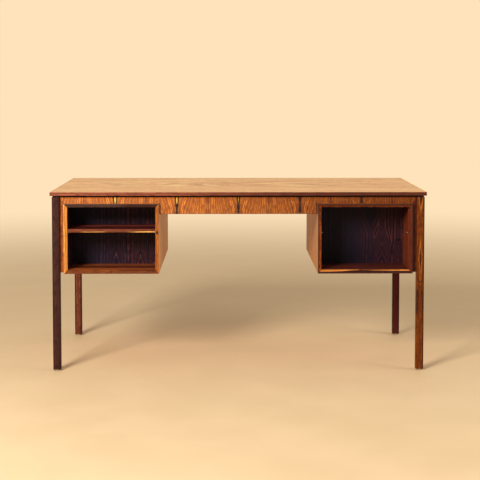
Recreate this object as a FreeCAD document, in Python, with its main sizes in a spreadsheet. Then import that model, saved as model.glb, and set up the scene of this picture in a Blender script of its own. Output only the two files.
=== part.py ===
"""A freestanding writing desk: a slim top on a hung carcass, two boxes with open compartments to the
front and three dovetailed drawers each to the rear, and four square legs outside the end panels.

Millimetres. X runs along the desk, Y from the open compartments to the drawers, Z up.
The origin is on the floor, under the middle of the top.
"""
import FreeCAD, Part
import math
import os
import re

import Sketcher

Vector = FreeCAD.Vector
doc = FreeCAD.newDocument("writing_desk")

# Driving sizes, each set by itself
SIZES = {
    "desk_width": 1500,
    "desk_depth": 750,
    "desk_height": 720,
    "top_thick": 15,
    "lipping_wide": 6,
    "lipping_round": 1.5,
    "shadow_gap": 6,
    "spacer_back": 12,
    "leg_side": 30,
    "leg_over": 7,
    "leg_back": 8,
    "leg_round": 2,
    "leg_pad_back": 3,
    "glide_wide": 20,
    "glide_tall": 5,
    "glide_slope": 2,
    "nail_wide": 3,
    "nail_long": 18,
    "gable_thick": 16,
    "gable_up": 4,
    "carcass_back": 23,
    "apron_tall": 69,
    "apron_thick": 18,
    "notch_gap": 3,
    "rail_deep": 22,
    "box_wide": 379,
    "box_tall": 280,
    "box_drop": 27,
    "box_back": 7,
    "board_thick": 14,
    "bevel": 10,
    "cubby_deep": 190,
    "divider_thick": 10,
    "divider_housing": 4,
    "shelf_thick": 13,
    "shelf_up": 164,
    "shelf_round": 1.5,
    "shelf_gap": 1,
    "seat_gap": 0.3,
    "pin_wide": 5,
    "pin_in": 8,
    "pin_out": 8,
    "pin_back": 16,
    "drawer_rows": 3,
    "drawer_gap": 2,
    "drawer_side_gap": 1.5,
    "drawer_inset": 2,
    "drawer_back_gap": 13,
    "front_thick": 18,
    "side_thick": 12,
    "side_tall": 66,
    "side_lift": 4,
    "back_thick": 10,
    "bottom_thick": 5,
    "bottom_up": 6,
    "bottom_housing": 5,
    "bottom_play": 0.3,
    "tail_long": 12,
    "tail_wide": 16,
    "tail_flare": 2,
    "tail_pitch": 29,
    "tail_mid": 37,
    "pull_wide": 96,
    "pull_deep": 18,
    "pull_bevel": 2.5,
    "runner_tall": 10,
    "runner_deep": 7,
    "runner_play": 0.5,
    "runner_stop": 0.5,
    "groove_deep": 6,
    "screw_wide": 4,
    "screw_head_wide": 8,
    "screw_head_tall": 2.4,
    "screw_long": 28,
    "screw_down": 26,
    "screw_pitch": 195,
    "screw_back": 25,
    "tenon_wide": 34,
    "tenon_thick": 6,
    "tenon_in_panel": 10,
    "tenon_in_leg": 18,
    "tenon_in_rail": 12,
    "leg_tenon_down": 90,
    "leg_tenon_pitch": 130,
    "top_tenon_pitch": 240,
    "fit_gap": 0.25,
    "cut_past": 1,
}

# Places that follow from the sizes: x and y are measured from the middle of the desk, z from the floor
PLACES = {
    "half_width": "desk_width / 2",
    "half_depth": "desk_depth / 2",
    "top_low": "desk_height - top_thick",
    "carcass_top": "top_low - shadow_gap",
    "leg_out": "half_width - leg_over",
    "leg_front": "half_depth - leg_back",
    "gable_out": "leg_out - leg_side",
    "gable_in": "gable_out - gable_thick",
    "carcass_front": "half_depth - carcass_back",
    "apron_low": "carcass_top - apron_tall",
    "rail_front": "carcass_front - apron_thick",
    "rail_mid": "rail_front - rail_deep / 2",
    "box_roof": "carcass_top - box_drop",
    "box_floor": "box_roof - box_tall",
    "box_front": "half_depth - box_back",
    "knee_half": "gable_in - box_wide",
    "room_wide": "box_wide - 2 * board_thick",
    "room_tall": "box_tall - 2 * board_thick",
    "room_floor": "box_floor + board_thick",
    "divider_front": "cubby_deep - box_front",
    "divider_rear": "divider_front + divider_thick",
    "shelf_low": "room_floor + shelf_up - shelf_thick",
    "pin_level": "shelf_low - seat_gap - pin_wide / 2",
    "shelf_front": "bevel - box_front",
    "front_tall": "(room_tall - (drawer_rows + 1) * drawer_gap) / drawer_rows",
    "drawer_wide": "room_wide - 2 * drawer_side_gap",
    "drawer_face": "box_front - bevel - drawer_inset",
    "drawer_rear": "divider_rear + drawer_back_gap",
    "shoulder": "drawer_face - front_thick - drawer_rear",
    "side_long": "shoulder + tail_long",
    "tail_root": "tail_wide / 2 - tail_flare",
    "tail_tip": "tail_wide / 2",
    "groove_tall": "runner_tall + runner_play + seat_gap",
    "groove_low": "tail_mid - groove_tall / 2",
    "pull_radius": "(pull_wide * pull_wide / 4 + pull_deep * pull_deep) / (2 * pull_deep)",
    "leg_lap_y": "(carcass_front + leg_front - leg_side) / 2",
    "nail_hole": "nail_wide + 2 * fit_gap",
}

sheet = doc.addObject("Spreadsheet::Sheet", "sizes")
for row, (word, number) in enumerate(SIZES.items(), start=1):
    sheet.set("A%d" % row, word)
    sheet.set("B%d" % row, str(number))
    sheet.setAlias("B%d" % row, word)
doc.recompute()


def formula(words):
    """The words as an expression of the document, each name looked up in the sheet or in the places."""

    def point_at(match):
        name = match.group()
        if name in SIZES:
            return "sizes." + name
        return "places." + name if name in PLACES else name

    return re.sub("[a-z][a-z_]+", point_at, words)


places = doc.addObject("App::VarSet", "places")
for word, words in PLACES.items():
    places.addProperty("App::PropertyFloat", word)
for word, words in PLACES.items():
    places.setExpression(word, re.sub(r"\bplaces\.", "", formula(words)))
doc.recompute()


def value(name):
    """The number that a size or a place has now."""
    return float(sheet.get(name)) if name in SIZES else getattr(places, name)


def tie(thing, prop, words):
    thing.setExpression(prop, formula(words))


def put(thing, x, y, z, axis=None, turn=0):
    """Turns a thing about an axis and ties its corner to x, y, z."""
    if axis:
        thing.Placement = FreeCAD.Placement(Vector(), FreeCAD.Rotation(Vector(*axis), turn))
    for letter, words in zip("xyz", (x, y, z)):
        tie(thing, ".Placement.Base." + letter, words)


def block(label, long, deep, tall, x, y, z):
    """A plain rectangular board."""
    board = doc.addObject("Part::Box", label)
    board.Label = label
    for prop, words in (("Length", long), ("Width", deep), ("Height", tall)):
        tie(board, prop, words)
    put(board, x, y, z)
    return board


def new_body(label):
    body = doc.addObject("PartDesign::Body", label)
    body.Label = label
    return body


def new_sketch(body, role, lift):
    """An empty sketch on one of the body's own planes, lifted along the plane's normal."""
    sketch = body.newObject("Sketcher::SketchObject", body.Name + "_sketch")
    plane = next(part for part in body.Origin.OriginFeatures if part.Role == role)
    sketch.AttachmentSupport = [(plane, "")]
    sketch.MapMode = "FlatFace"
    if lift:
        tie(sketch, ".AttachmentOffset.Base.z", lift)
    return sketch


def hold_point(sketch, curve, end, across, up):
    """Ties a point of the sketch to its distances from the corner of the body."""
    for kind, words, axis in (("DistanceX", across, -2), ("DistanceY", up, -1)):
        if words == "0":
            sketch.addConstraint(Sketcher.Constraint("PointOnObject", curve, end, axis))
            continue
        place = sketch.addConstraint(Sketcher.Constraint(kind, -1, 1, curve, end, value("bevel")))
        tie(sketch, "Constraints[%d]" % place, words)


def draw_rings(body, role, rings, lift=""):
    """A sketch of closed outlines, each a list of corners given across and up from the body's corner."""
    sketch = new_sketch(body, role, lift)
    for ring in rings:
        first = sketch.GeometryCount
        step = 2 * math.pi / len(ring)
        reach = value("bevel")
        rough = [Vector(reach * math.cos(n * step), reach * math.sin(n * step)) for n in range(len(ring))]
        for n, start in enumerate(rough):
            sketch.addGeometry(Part.LineSegment(start, rough[(n + 1) % len(ring)]), False)
        for n in range(len(ring)):
            after = first + (n + 1) % len(ring)
            sketch.addConstraint(Sketcher.Constraint("Coincident", first + n, 2, after, 1))
        for n, (across, up) in enumerate(ring):
            hold_point(sketch, first + n, 1, across, up)
    return sketch


def rectangle(across, up, wide, tall):
    right = "%s + %s" % (across, wide)
    high = "%s + %s" % (up, tall)
    if across == "0":
        right = wide
    if up == "0":
        high = tall
    return [(across, up), (right, up), (right, high), (across, high)]


def pad(body, sketch, long, flip=False):
    feature = body.newObject("PartDesign::Pad", body.Name + "_pad")
    feature.Profile = sketch
    feature.Reversed = flip
    tie(feature, "Length", long)
    return feature


def pocket(body, sketch, deep, flip=False):
    """Cuts a sketch into the body; flip turns it from against the plane's normal to along it."""
    feature = body.newObject("PartDesign::Pocket", body.Name + "_pocket")
    feature.Profile = sketch
    feature.Reversed = flip
    tie(feature, "Length", deep)
    return feature


def edges_where(feature, test):
    """Names of the straight or round edges whose two ends and middle all pass the test."""
    names = []
    for number, edge in enumerate(feature.Shape.Edges, start=1):
        ends = [vertex.Point for vertex in edge.Vertexes] + [edge.CenterOfMass]
        if all(test(point) for point in ends):
            names.append("Edge%d" % number)
    return names


def near(one, other):
    return abs(one - other) < value("seat_gap") / 10


def round_off(body, feature, names, radius):
    fillet = body.newObject("PartDesign::Fillet", body.Name + "_round")
    fillet.Base = (feature, names)
    tie(fillet, "Radius", radius)
    return fillet


def bevel_off(body, feature, names, size):
    chamfer = body.newObject("PartDesign::Chamfer", body.Name + "_bevel")
    chamfer.Base = (feature, names)
    tie(chamfer, "Size", size)
    return chamfer


def turned(label, profile):
    """A round piece about its own Z, from corners given outwards and along."""
    body = new_body(label)
    sketch = draw_rings(body, "XZ_Plane", [profile])
    spin = body.newObject("PartDesign::Revolution", label + "_spin")
    spin.Profile = sketch
    spin.ReferenceAxis = (sketch, ["V_Axis"])
    return body


def copies(label, master, spots):
    """One group of equal pieces: each spot is a point and the way that the piece's own Z points."""
    group = doc.addObject("Part::Feature", label)
    group.Label = label
    solids = []
    for point, way in spots:
        solid = master.Shape.copy()
        turn = FreeCAD.Rotation(Vector(0, 0, 1), Vector(*way))
        solid.Placement = FreeCAD.Placement(Vector(*point), turn) * master.Placement
        solids.append(solid)
    group.Shape = Part.makeCompound(solids)
    return group


def gathered(label, pieces):
    group = doc.addObject("Part::Compound", label)
    group.Label = label
    group.Links = pieces
    return group


def drilled(label, blank, drills):
    """The blank with every drill of the list taken out of it."""
    drill = drills[0] if len(drills) == 1 else gathered(label + "_drills", drills)
    board = doc.addObject("Part::Cut", label)
    board.Label = label
    board.Base = blank
    board.Tool = drill
    return board


def screw(label, gap="0", rise="0"):
    """A countersunk screw along Z from its head's face; with a gap and a rise, the drill that clears it."""
    profile = [
        ("0", "0"),
        ("screw_head_wide / 2 + " + gap, "0"),
        ("screw_head_wide / 2 + " + gap, rise),
        ("screw_wide / 2 + " + gap, rise + " + screw_head_tall"),
        ("screw_wide / 2 + " + gap, rise + " + screw_long + " + gap),
        ("0", rise + " + screw_long + " + gap),
    ]
    if rise == "0":
        profile.pop(2)
    return turned(label, profile)


def tenon(label, long, gap="0"):
    """A loose tenon along Z, or with a gap the mortise that takes it."""
    wide = "tenon_wide + 2 * " + gap
    thick = "tenon_thick + 2 * " + gap
    long = "%s + 2 * %s" % (long, gap)
    return block(label, wide, thick, long, "-(%s) / 2" % wide, "-(%s) / 2" % thick, "-" + gap)


made = []

# One pattern of each fastener and fitting, and the drill or mortise that clears it
screw_pattern = screw("screw_pattern")
screw_drill = screw("screw_drill", "fit_gap", "cut_past")
TENONS = {
    "leg": "tenon_in_panel + tenon_in_leg",
    "box": "tenon_in_panel + tenon_in_rail",
    "top": "tenon_in_rail + shadow_gap + tenon_in_panel",
}
tenons = {use: tenon(use + "_tenon_pattern", long) for use, long in TENONS.items()}
mortises = {use: tenon(use + "_mortise_pattern", long, "fit_gap") for use, long in TENONS.items()}

glide = turned(
    "glide_pattern",
    [
        ("0", "0"),
        ("glide_wide / 2 - glide_slope", "0"),
        ("glide_wide / 2", "glide_tall"),
        ("0", "glide_tall"),
    ],
)
nail = rectangle("-nail_wide / 2", "-nail_wide / 2", "nail_wide", "nail_wide")
pad(glide, draw_rings(glide, "XY_Plane", [nail], "glide_tall"), "nail_long")


def peg(label, gap="0", long="pin_in + pin_out"):
    """A plain round pin along Z, or the hole for it."""
    radius = "pin_wide / 2 + " + gap
    return turned(label, [("0", "0"), (radius, "0"), (radius, long), ("0", long)])


shelf_pin = peg("shelf_pin_pattern")
pin_drill = peg("shelf_pin_drill", "fit_gap", "pin_in + fit_gap + cut_past")
doc.recompute()

# Where the fasteners sit: each spot is a point and the way that the piece goes in
sides = {"left": -1, "right": 1}
ends = {"front": -1, "rear": 1}
up = (0, 0, 1)
high_tenon = value("carcass_top") - value("leg_tenon_down")
tenon_levels = [high_tenon, high_tenon - value("leg_tenon_pitch")]
high_screw = value("box_roof") - value("screw_down")
screw_levels = [high_screw, high_screw - value("screw_pitch")]
screw_y = value("screw_back") - value("box_front")
inner_face = value("gable_in") - value("board_thick")
box_mid = (value("gable_in") + value("knee_half")) / 2
box_mortise_low = value("box_roof") - value("tenon_in_panel")
top_mortise_low = value("carcass_top") - value("tenon_in_rail")
outer_pin_x = inner_face + value("pin_in")
inner_pin_x = value("knee_half") + value("board_thick") - value("pin_in")
pin_ys = [value("shelf_front") + value("pin_back"), value("divider_front") - value("pin_back")]
glide_x = value("leg_out") - value("leg_side") / 2
glide_y = value("leg_front") - value("leg_side") / 2

leg_spots, screw_spots, box_spots, top_spots, glide_spots, pin_spots = {}, {}, [], [], [], {}
for side, out in sides.items():
    leg_x = out * (value("gable_out") - value("tenon_in_panel"))
    lap_ys = [back * value("leg_lap_y") for back in ends.values()]
    leg_spots[side] = [((leg_x, y, level), (out, 0, 0)) for y in lap_ys for level in tenon_levels]
    screw_spots[side] = [((out * inner_face, screw_y, level), (out, 0, 0)) for level in screw_levels]
    box_spots += [((out * box_mid, back * value("rail_mid"), box_mortise_low), up) for back in ends.values()]
    glide_spots += [((out * glide_x, back * glide_y, 0), up) for back in ends.values()]
    pin_spots[side] = {
        "outer": [((out * outer_pin_x, y, value("pin_level")), (-out, 0, 0)) for y in pin_ys],
        "inner": [((out * inner_pin_x, y, value("pin_level")), (out, 0, 0)) for y in pin_ys],
    }
for back in ends.values():
    for n in (-1, 0, 1):
        spot = (n * value("top_tenon_pitch"), back * value("rail_mid"), top_mortise_low)
        top_spots.append((spot, up))


def outset(spots, distance):
    """The same spots, moved back against the way that they point."""
    return [(tuple(p - distance * w for p, w in zip(point, way)), way) for point, way in spots]


all_leg_spots = sum(leg_spots.values(), [])
tenon_groups = [
    copies("leg_tenons", tenons["leg"], all_leg_spots),
    copies("box_tenons", tenons["box"], box_spots),
    copies("top_tenons", tenons["top"], top_spots),
]
made.append(gathered("loose_tenons", tenon_groups))
made.append(copies("box_screws", screw_pattern, sum(screw_spots.values(), [])))
made.append(copies("leg_glides", glide, glide_spots))
both_walls = [spots for walls in pin_spots.values() for spots in walls.values()]
made.append(copies("shelf_pins", shelf_pin, sum(both_walls, [])))
leg_mortises = {side: copies(side + "_leg_mortises", mortises["leg"], leg_spots[side]) for side in sides}
box_mortises = copies("box_mortises", mortises["box"], box_spots)
top_mortises = copies("top_mortises", mortises["top"], top_spots)

# Top: a veneered panel with mitred solid lippings
panel = block(
    "top_panel_blank",
    "desk_width - 2 * lipping_wide",
    "desk_depth - 2 * lipping_wide",
    "top_thick",
    "lipping_wide - half_width",
    "lipping_wide - half_depth",
    "top_low",
)
made.append(drilled("top_panel", panel, [top_mortises]))


def lipping(label, long, x, y, turn):
    """One edge strip, mitred at both ends, with its two outer edges rounded."""
    body = new_body(label)
    far = "lipping_wide"
    ring = [("0", "0"), (long, "0"), (long + " - lipping_wide", far), ("lipping_wide", far)]
    strip = pad(body, draw_rings(body, "XY_Plane", [ring]), "top_thick")
    doc.recompute()
    outer = edges_where(strip, lambda p: near(p.y, 0) and (near(p.z, 0) or near(p.z, value("top_thick"))))
    round_off(body, strip, outer, "lipping_round")
    put(body, x, y, "top_low", (0, 0, 1), turn)
    return body


long_lippings = [
    lipping("front_lipping", "desk_width", "-half_width", "-half_depth", 0),
    lipping("rear_lipping", "desk_width", "half_width", "half_depth", 180),
]
short_lippings = [
    lipping("right_lipping", "desk_depth", "half_width", "-half_depth", 90),
    lipping("left_lipping", "desk_depth", "-half_width", "half_depth", -90),
]
made.append(gathered("top_lipping_long", long_lippings))
made.append(gathered("top_lipping_short", short_lippings))

# Recessed strips and pads that hold the top off the carcass and the legs
strip_front = "carcass_front - spacer_back"
strip_deep = "rail_deep + apron_thick - spacer_back"
strip_rear = "rail_front - rail_deep"
long = "2 * gable_out"
first = "-(%s)" % strip_front
strips = [
    block("front_spacer", long, strip_deep, "shadow_gap", "-gable_out", first, "carcass_top"),
    block("rear_spacer", long, strip_deep, "shadow_gap", "-gable_out", strip_rear, "carcass_top"),
]
for side, x in (("left", "-gable_out + lipping_wide"), ("right", "gable_in")):
    strips.append(
        block(
            side + "_spacer",
            "gable_thick - lipping_wide",
            "2 * (%s)" % strip_rear,
            "shadow_gap",
            x,
            "-(%s)" % strip_rear,
            "carcass_top",
        )
    )
pad_side = "leg_side - leg_pad_back"
pad_x = {1: "leg_out - leg_side", -1: "leg_pad_back - leg_out"}
pad_y = {1: "leg_front - leg_side", -1: "leg_pad_back - leg_front"}
for end, back in ends.items():
    for side, out in sides.items():
        label = "%s_%s_leg_pad" % (end, side)
        strips.append(block(label, pad_side, pad_side, "shadow_gap", pad_x[out], pad_y[back], "carcass_top"))
made.append(drilled("top_spacers", gathered("spacer_blanks", strips), [top_mortises]))

# The rails that the boxes hang from
long = "2 * gable_in"
rails = [
    block("front_rail", long, "rail_deep", "box_drop", "-gable_in", "-rail_front", "box_roof"),
    block("rear_rail", long, "rail_deep", "box_drop", "-gable_in", strip_rear, "box_roof"),
]
made.append(drilled("hanging_rails", gathered("rail_blanks", rails), [top_mortises, box_mortises]))


def apron(label, y):
    """The fascia under the top: notched over both boxes with a gap beside each, its ends mitred."""
    body = new_body(label)
    notch = "apron_tall - box_drop"
    near_side = "gable_thick + box_wide + notch_gap"
    far_box = "2 * gable_out - gable_thick"
    far_side = far_box + " - box_wide - notch_gap"
    ring = [
        ("0", "apron_tall"),
        ("gable_thick", notch),
        (near_side, notch),
        (near_side, "0"),
        (far_side, "0"),
        (far_side, notch),
        (far_box, notch),
        ("2 * gable_out", "apron_tall"),
    ]
    pad(body, draw_rings(body, "XZ_Plane", [ring]), "apron_thick", flip=True)
    put(body, "-gable_out", y, "apron_low")
    return body


made.append(apron("front_apron", "-carcass_front"))
made.append(apron("rear_apron", "carcass_front - apron_thick"))


def end_panel(side, out):
    """A full-depth end panel; a triangle is taken out of each upper corner for the mitred apron."""
    body = new_body(side + "_end_panel_blank")
    tall = "carcass_top - box_floor - gable_up"
    board = draw_rings(body, "XZ_Plane", [rectangle("0", "0", "gable_thick", tall)])
    pad(body, board, "2 * carcass_front", flip=True)
    mitre = [("0", tall), ("gable_thick", tall), ("gable_thick", tall + " - box_drop")]
    pocket(body, draw_rings(body, "XZ_Plane", [mitre]), "apron_thick")
    pocket(body, draw_rings(body, "XZ_Plane", [mitre], "-2 * carcass_front"), "apron_thick", flip=True)
    if out < 0:
        put(body, "-gable_out", "-carcass_front", "box_floor + gable_up")
    else:
        put(body, "gable_out", "carcass_front", "box_floor + gable_up", (0, 0, 1), 180)
    return drilled(side + "_end_panel", body, [leg_mortises[side], box_drills[side]])


def leg(end, side, back, out):
    """A square leg with softened edges, holed for its glide's nail and mortised for the end panel."""
    body = new_body("%s_%s_leg_blank" % (end, side))
    post = pad(
        body,
        draw_rings(body, "XY_Plane", [rectangle("0", "0", "leg_side", "leg_side")]),
        "carcass_top - glide_tall",
    )
    doc.recompute()

    def on_corner(point):
        return all(near(reach, 0) or near(reach, value("leg_side")) for reach in (point.x, point.y))

    round_off(body, post, edges_where(post, on_corner), "leg_round")
    inset = "(leg_side - nail_hole) / 2"
    foot = draw_rings(body, "XY_Plane", [rectangle(inset, inset, "nail_hole", "nail_hole")])
    pocket(body, foot, "nail_long + fit_gap", flip=True)
    x = "leg_out - leg_side" if out > 0 else "-leg_out"
    y = "leg_front - leg_side" if back > 0 else "-leg_front"
    put(body, x, y, "glide_tall")
    return drilled("%s_%s_leg" % (end, side), body, [leg_mortises[side]])


box_drills = {}
for side, out in sides.items():
    proud = outset(screw_spots[side], value("cut_past"))
    box_drills[side] = copies(side + "_box_drills", screw_drill, proud)
    made.append(end_panel(side, out))
    made += [leg(end, side, back, out) for end, back in ends.items()]


def box_board(label, long, x, z, turn):
    """A mitred board of a box: both ends cut at 45 degrees, both inner edges bevelled, divider housed."""
    body = new_body(label)
    far = "board_thick"
    ring = [("0", "0"), (long, "0"), (long + " - board_thick", far), ("board_thick", far)]
    board = pad(body, draw_rings(body, "XZ_Plane", [ring]), "2 * box_front", flip=True)
    doc.recompute()
    inner, rear = value("board_thick"), 2 * value("box_front")
    lips = edges_where(board, lambda p: near(p.z, inner) and (near(p.y, 0) or near(p.y, rear)))
    bevel_off(body, board, lips, "bevel")
    channel = rectangle("0", "cubby_deep", long, "divider_thick")
    pocket(body, draw_rings(body, "XY_Plane", [channel], "board_thick"), "divider_housing")
    put(body, x, "-box_front", z, (0, 1, 0), turn)
    return body


# The two boxes, each a mitred frame open at both ends with a divider housed between
box_left = {"left": "-gable_in", "right": "knee_half"}
for side, out in sides.items():
    low_x = box_left[side]
    high_x = low_x + " + box_wide"
    name = side + "_box_"
    top_board = box_board(name + "top_blank", "box_wide", high_x, "box_roof", 180)
    made.append(drilled(name + "top", top_board, [box_mortises]))
    made.append(box_board(name + "bottom", "box_wide", low_x, "box_floor", 0))
    walls = {
        "low": box_board(side + "_low_wall", "box_tall", low_x, "box_roof", 90),
        "high": box_board(side + "_high_wall", "box_tall", high_x, "box_floor", -90),
    }
    outer, inner = ("low", "high") if out < 0 else ("high", "low")
    pins = {}
    for wall, spots in pin_spots[side].items():
        deeper = outset(spots, value("fit_gap"))
        pins[wall] = copies("%s_%s_pin_drills" % (side, wall), pin_drill, deeper)
    made.append(drilled(name + "outer_side", walls[outer], [box_drills[side], pins["outer"]]))
    made.append(drilled(name + "inner_side", walls[inner], [pins["inner"]]))
    made.append(
        block(
            name + "divider",
            "room_wide + 2 * divider_housing",
            "divider_thick",
            "room_tall + 2 * divider_housing",
            low_x + " + board_thick - divider_housing",
            "divider_front",
            "room_floor - divider_housing",
        )
    )

# The shelf of the left compartment, loose on its four pins
shelf_body = new_body("shelf")
shelf_deep = "divider_front - shelf_front"
shelf_ring = rectangle("0", "0", "room_wide - 2 * shelf_gap", shelf_deep)
shelf_pad = pad(shelf_body, draw_rings(shelf_body, "XY_Plane", [shelf_ring]), "shelf_thick")
doc.recompute()
shelf_faces = (0, value("shelf_thick"))
shelf_lip = edges_where(shelf_pad, lambda p: near(p.y, 0) and any(near(p.z, z) for z in shelf_faces))
round_off(shelf_body, shelf_pad, shelf_lip, "shelf_round")
put(shelf_body, "board_thick + shelf_gap - gable_in", "shelf_front", "shelf_low")
made.append(shelf_body)

# Drawers


def tail(middle, root_y, tip_y):
    """One dovetail seen from the drawer's side: narrow at its root, wide at its tip."""
    return [
        (root_y, middle + " - tail_root"),
        (tip_y, middle + " - tail_tip"),
        (tip_y, middle + " + tail_tip"),
        (root_y, middle + " + tail_root"),
    ]


def tail_middles(lift=""):
    return ["tail_mid - tail_pitch / 2" + lift, "tail_mid + tail_pitch / 2" + lift]


def drawer_side(label, x, y, z, inner_first):
    """A side with tails at both ends, a runner groove outside and a groove for the bottom inside."""
    body = new_body(label)
    ring = [("back_thick", "0"), ("shoulder", "0")]
    for middle in tail_middles():
        ring += tail(middle, "shoulder", "side_long")
    ring += [("shoulder", "side_tall"), ("back_thick", "side_tall")]
    for middle in reversed(tail_middles()):
        ring += reversed(tail(middle, "back_thick", "0"))
    pad(body, draw_rings(body, "YZ_Plane", [ring]), "side_thick")
    runner = [rectangle("0", "groove_low", "shoulder", "groove_tall")]
    bottom = [rectangle("0", "bottom_up", "shoulder", "bottom_thick")]
    near_rings, near_deep = (bottom, "bottom_housing") if inner_first else (runner, "groove_deep")
    far_rings, far_deep = (runner, "groove_deep") if inner_first else (bottom, "bottom_housing")
    pocket(body, draw_rings(body, "YZ_Plane", near_rings), near_deep, flip=True)
    pocket(body, draw_rings(body, "YZ_Plane", far_rings, "side_thick"), far_deep)
    put(body, x, y, z)
    return body


def cut_both_ends(body, rings, deep):
    """The same pocket from both ends of a board that is as long as the drawer is wide."""
    pocket(body, draw_rings(body, "YZ_Plane", rings), deep, flip=True)
    pocket(body, draw_rings(body, "YZ_Plane", rings, "drawer_wide"), deep)


def drawer_front(label, x, y, z):
    """A front with half-blind sockets, a groove for the bottom and a scooped finger pull on top."""
    body = new_body(label)
    pad(
        body,
        draw_rings(body, "XZ_Plane", [rectangle("0", "0", "drawer_wide", "front_tall")]),
        "front_thick",
        flip=True,
    )
    sockets = [tail(middle, "0", "tail_long") for middle in tail_middles(" + side_lift")]
    cut_both_ends(body, sockets, "side_thick")
    inset = "side_thick - bottom_housing"
    groove = rectangle(inset, "bottom_up + side_lift", "drawer_wide - 2 * (%s)" % inset, "bottom_thick")
    pocket(body, draw_rings(body, "XZ_Plane", [groove]), "bottom_housing")
    sketch = new_sketch(body, "XZ_Plane", "")
    circle = Part.Circle(Vector(), Vector(0, 0, 1), value("bevel"))
    sketch.addGeometry(circle, False)
    hold_point(sketch, 0, 3, "drawer_wide / 2", "front_tall + pull_radius - pull_deep")
    radius = sketch.addConstraint(Sketcher.Constraint("Radius", 0, value("bevel")))
    tie(sketch, "Constraints[%d]" % radius, "pull_radius")
    scoop = pocket(body, sketch, "front_thick + cut_past")
    doc.recompute()
    rim = []
    for number, edge in enumerate(scoop.Shape.Edges, start=1):
        if isinstance(edge.Curve, Part.Circle) and near(edge.Curve.Radius, value("pull_radius")):
            rim.append("Edge%d" % number)
    bevel_off(body, scoop, rim, "pull_bevel")
    put(body, x, y, z)
    return body


def drawer_back(label, x, y, z):
    """A back with through sockets, notched at both ends so that the runners pass."""
    body = new_body(label)
    low = "bottom_up + bottom_thick"
    board = rectangle("0", low, "drawer_wide", "side_tall - " + "(%s)" % low)
    pad(body, draw_rings(body, "XZ_Plane", [board]), "back_thick", flip=True)
    cut_both_ends(body, [tail(middle, "back_thick", "0") for middle in tail_middles()], "side_thick")
    cut_both_ends(body, [rectangle("0", "groove_low", "back_thick", "groove_tall")], "groove_deep")
    put(body, x, y, z)
    return body


def drawer(name, x, z):
    """Five pieces from the drawer's own corner: left outer face, rear end, lower edge of the sides."""
    inset = "(side_thick - bottom_housing + bottom_play)"
    far_side = x + " + drawer_wide - side_thick"
    front_y = "drawer_rear + shoulder"
    return [
        drawer_front(name + "_front", x, front_y, z + " - side_lift"),
        drawer_side(name + "_left_side", x, "drawer_rear", z, inner_first=False),
        drawer_side(name + "_right_side", far_side, "drawer_rear", z, inner_first=True),
        drawer_back(name + "_back", x, "drawer_rear", z),
        block(
            name + "_bottom",
            "drawer_wide - 2 * " + inset,
            "shoulder + bottom_housing - bottom_play",
            "bottom_thick",
            x + " + " + inset,
            "drawer_rear",
            z + " + bottom_up",
        ),
    ]


row_names = ["bottom", "middle", "top"]
runners = []
runner_long = "drawer_rear + shoulder - runner_stop - divider_rear"
for side in sides:
    for row in range(int(value("drawer_rows"))):
        room_x = box_left[side] + " + board_thick"
        base = "room_floor + drawer_gap + %d * (front_tall + drawer_gap) + side_lift" % row
        level = row_names[row] if row < len(row_names) else "extra_%d" % row
        made += drawer("%s_%s_drawer" % (side, level), room_x + " + drawer_side_gap", base)
        shapes = {"low": room_x, "high": room_x + " + room_wide - runner_deep"}
        for wall, x in shapes.items():
            runners.append(
                block(
                    "%s_%s_%s_runner" % (side, level, wall),
                    "runner_deep",
                    runner_long,
                    "runner_tall",
                    x,
                    "divider_rear",
                    base + " + groove_low + runner_play",
                )
            )
made.append(gathered("drawer_runners", runners))

doc.recompute()
for thing in doc.Objects:
    if "Invalid" in thing.State or "Error" in thing.State:
        raise RuntimeError("%s is not valid: %s" % (thing.Label, thing.State))
for piece in made:
    if piece.Shape.isNull() or not piece.Shape.isValid():
        raise RuntimeError("%s has no valid shape" % piece.Label)

os.makedirs("parts", exist_ok=True)
for piece in made:
    piece.Shape.exportStep("parts/%s.step" % piece.Label)
print("%d pieces written" % len(made))
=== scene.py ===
import math

import bmesh
import bpy
from mathutils import Matrix, Vector


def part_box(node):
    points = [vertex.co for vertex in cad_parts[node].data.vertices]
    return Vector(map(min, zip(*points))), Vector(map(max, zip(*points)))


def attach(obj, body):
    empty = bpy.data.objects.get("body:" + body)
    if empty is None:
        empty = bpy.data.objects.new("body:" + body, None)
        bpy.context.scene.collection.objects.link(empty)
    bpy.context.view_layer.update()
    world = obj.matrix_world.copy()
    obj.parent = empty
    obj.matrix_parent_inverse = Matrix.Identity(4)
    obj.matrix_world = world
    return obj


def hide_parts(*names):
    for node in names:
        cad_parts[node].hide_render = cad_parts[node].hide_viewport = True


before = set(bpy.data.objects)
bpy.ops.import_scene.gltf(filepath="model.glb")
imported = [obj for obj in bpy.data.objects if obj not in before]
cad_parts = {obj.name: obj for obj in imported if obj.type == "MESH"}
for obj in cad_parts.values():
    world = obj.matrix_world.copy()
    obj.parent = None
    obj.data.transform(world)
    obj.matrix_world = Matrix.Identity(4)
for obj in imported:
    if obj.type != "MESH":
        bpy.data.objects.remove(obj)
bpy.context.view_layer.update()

bl_info = {
    "name": "Rosewood writing desk",
    "version": (1, 0, 0),
    "blender": (4, 5, 0),
    "location": "3D View > Sidebar > Desk",
    "description": "Finishes the packed writing desk in rosewood and sets it in a plain studio",
    "category": "Object",
}

SIDES = ("left", "right")
ROWS = ("bottom", "middle", "top")
FIGURE = ("Bands", "Lines", "Tone", "Clouds", "Flecks", "Fibre", "Pores")
# What a middle colour's red, green and blue are multiplied by: the darks are redder, the lights yellower
TONES = ((0.2, 0.13, 0.15), (0.5, 0.42, 0.42), (1.45, 1.6, 1.5))
LINE, DARK, LIGHT = range(3)
# How far the sides of the aprons' notches stand off the boxes
NOTCH_GAP = 0.003
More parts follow.
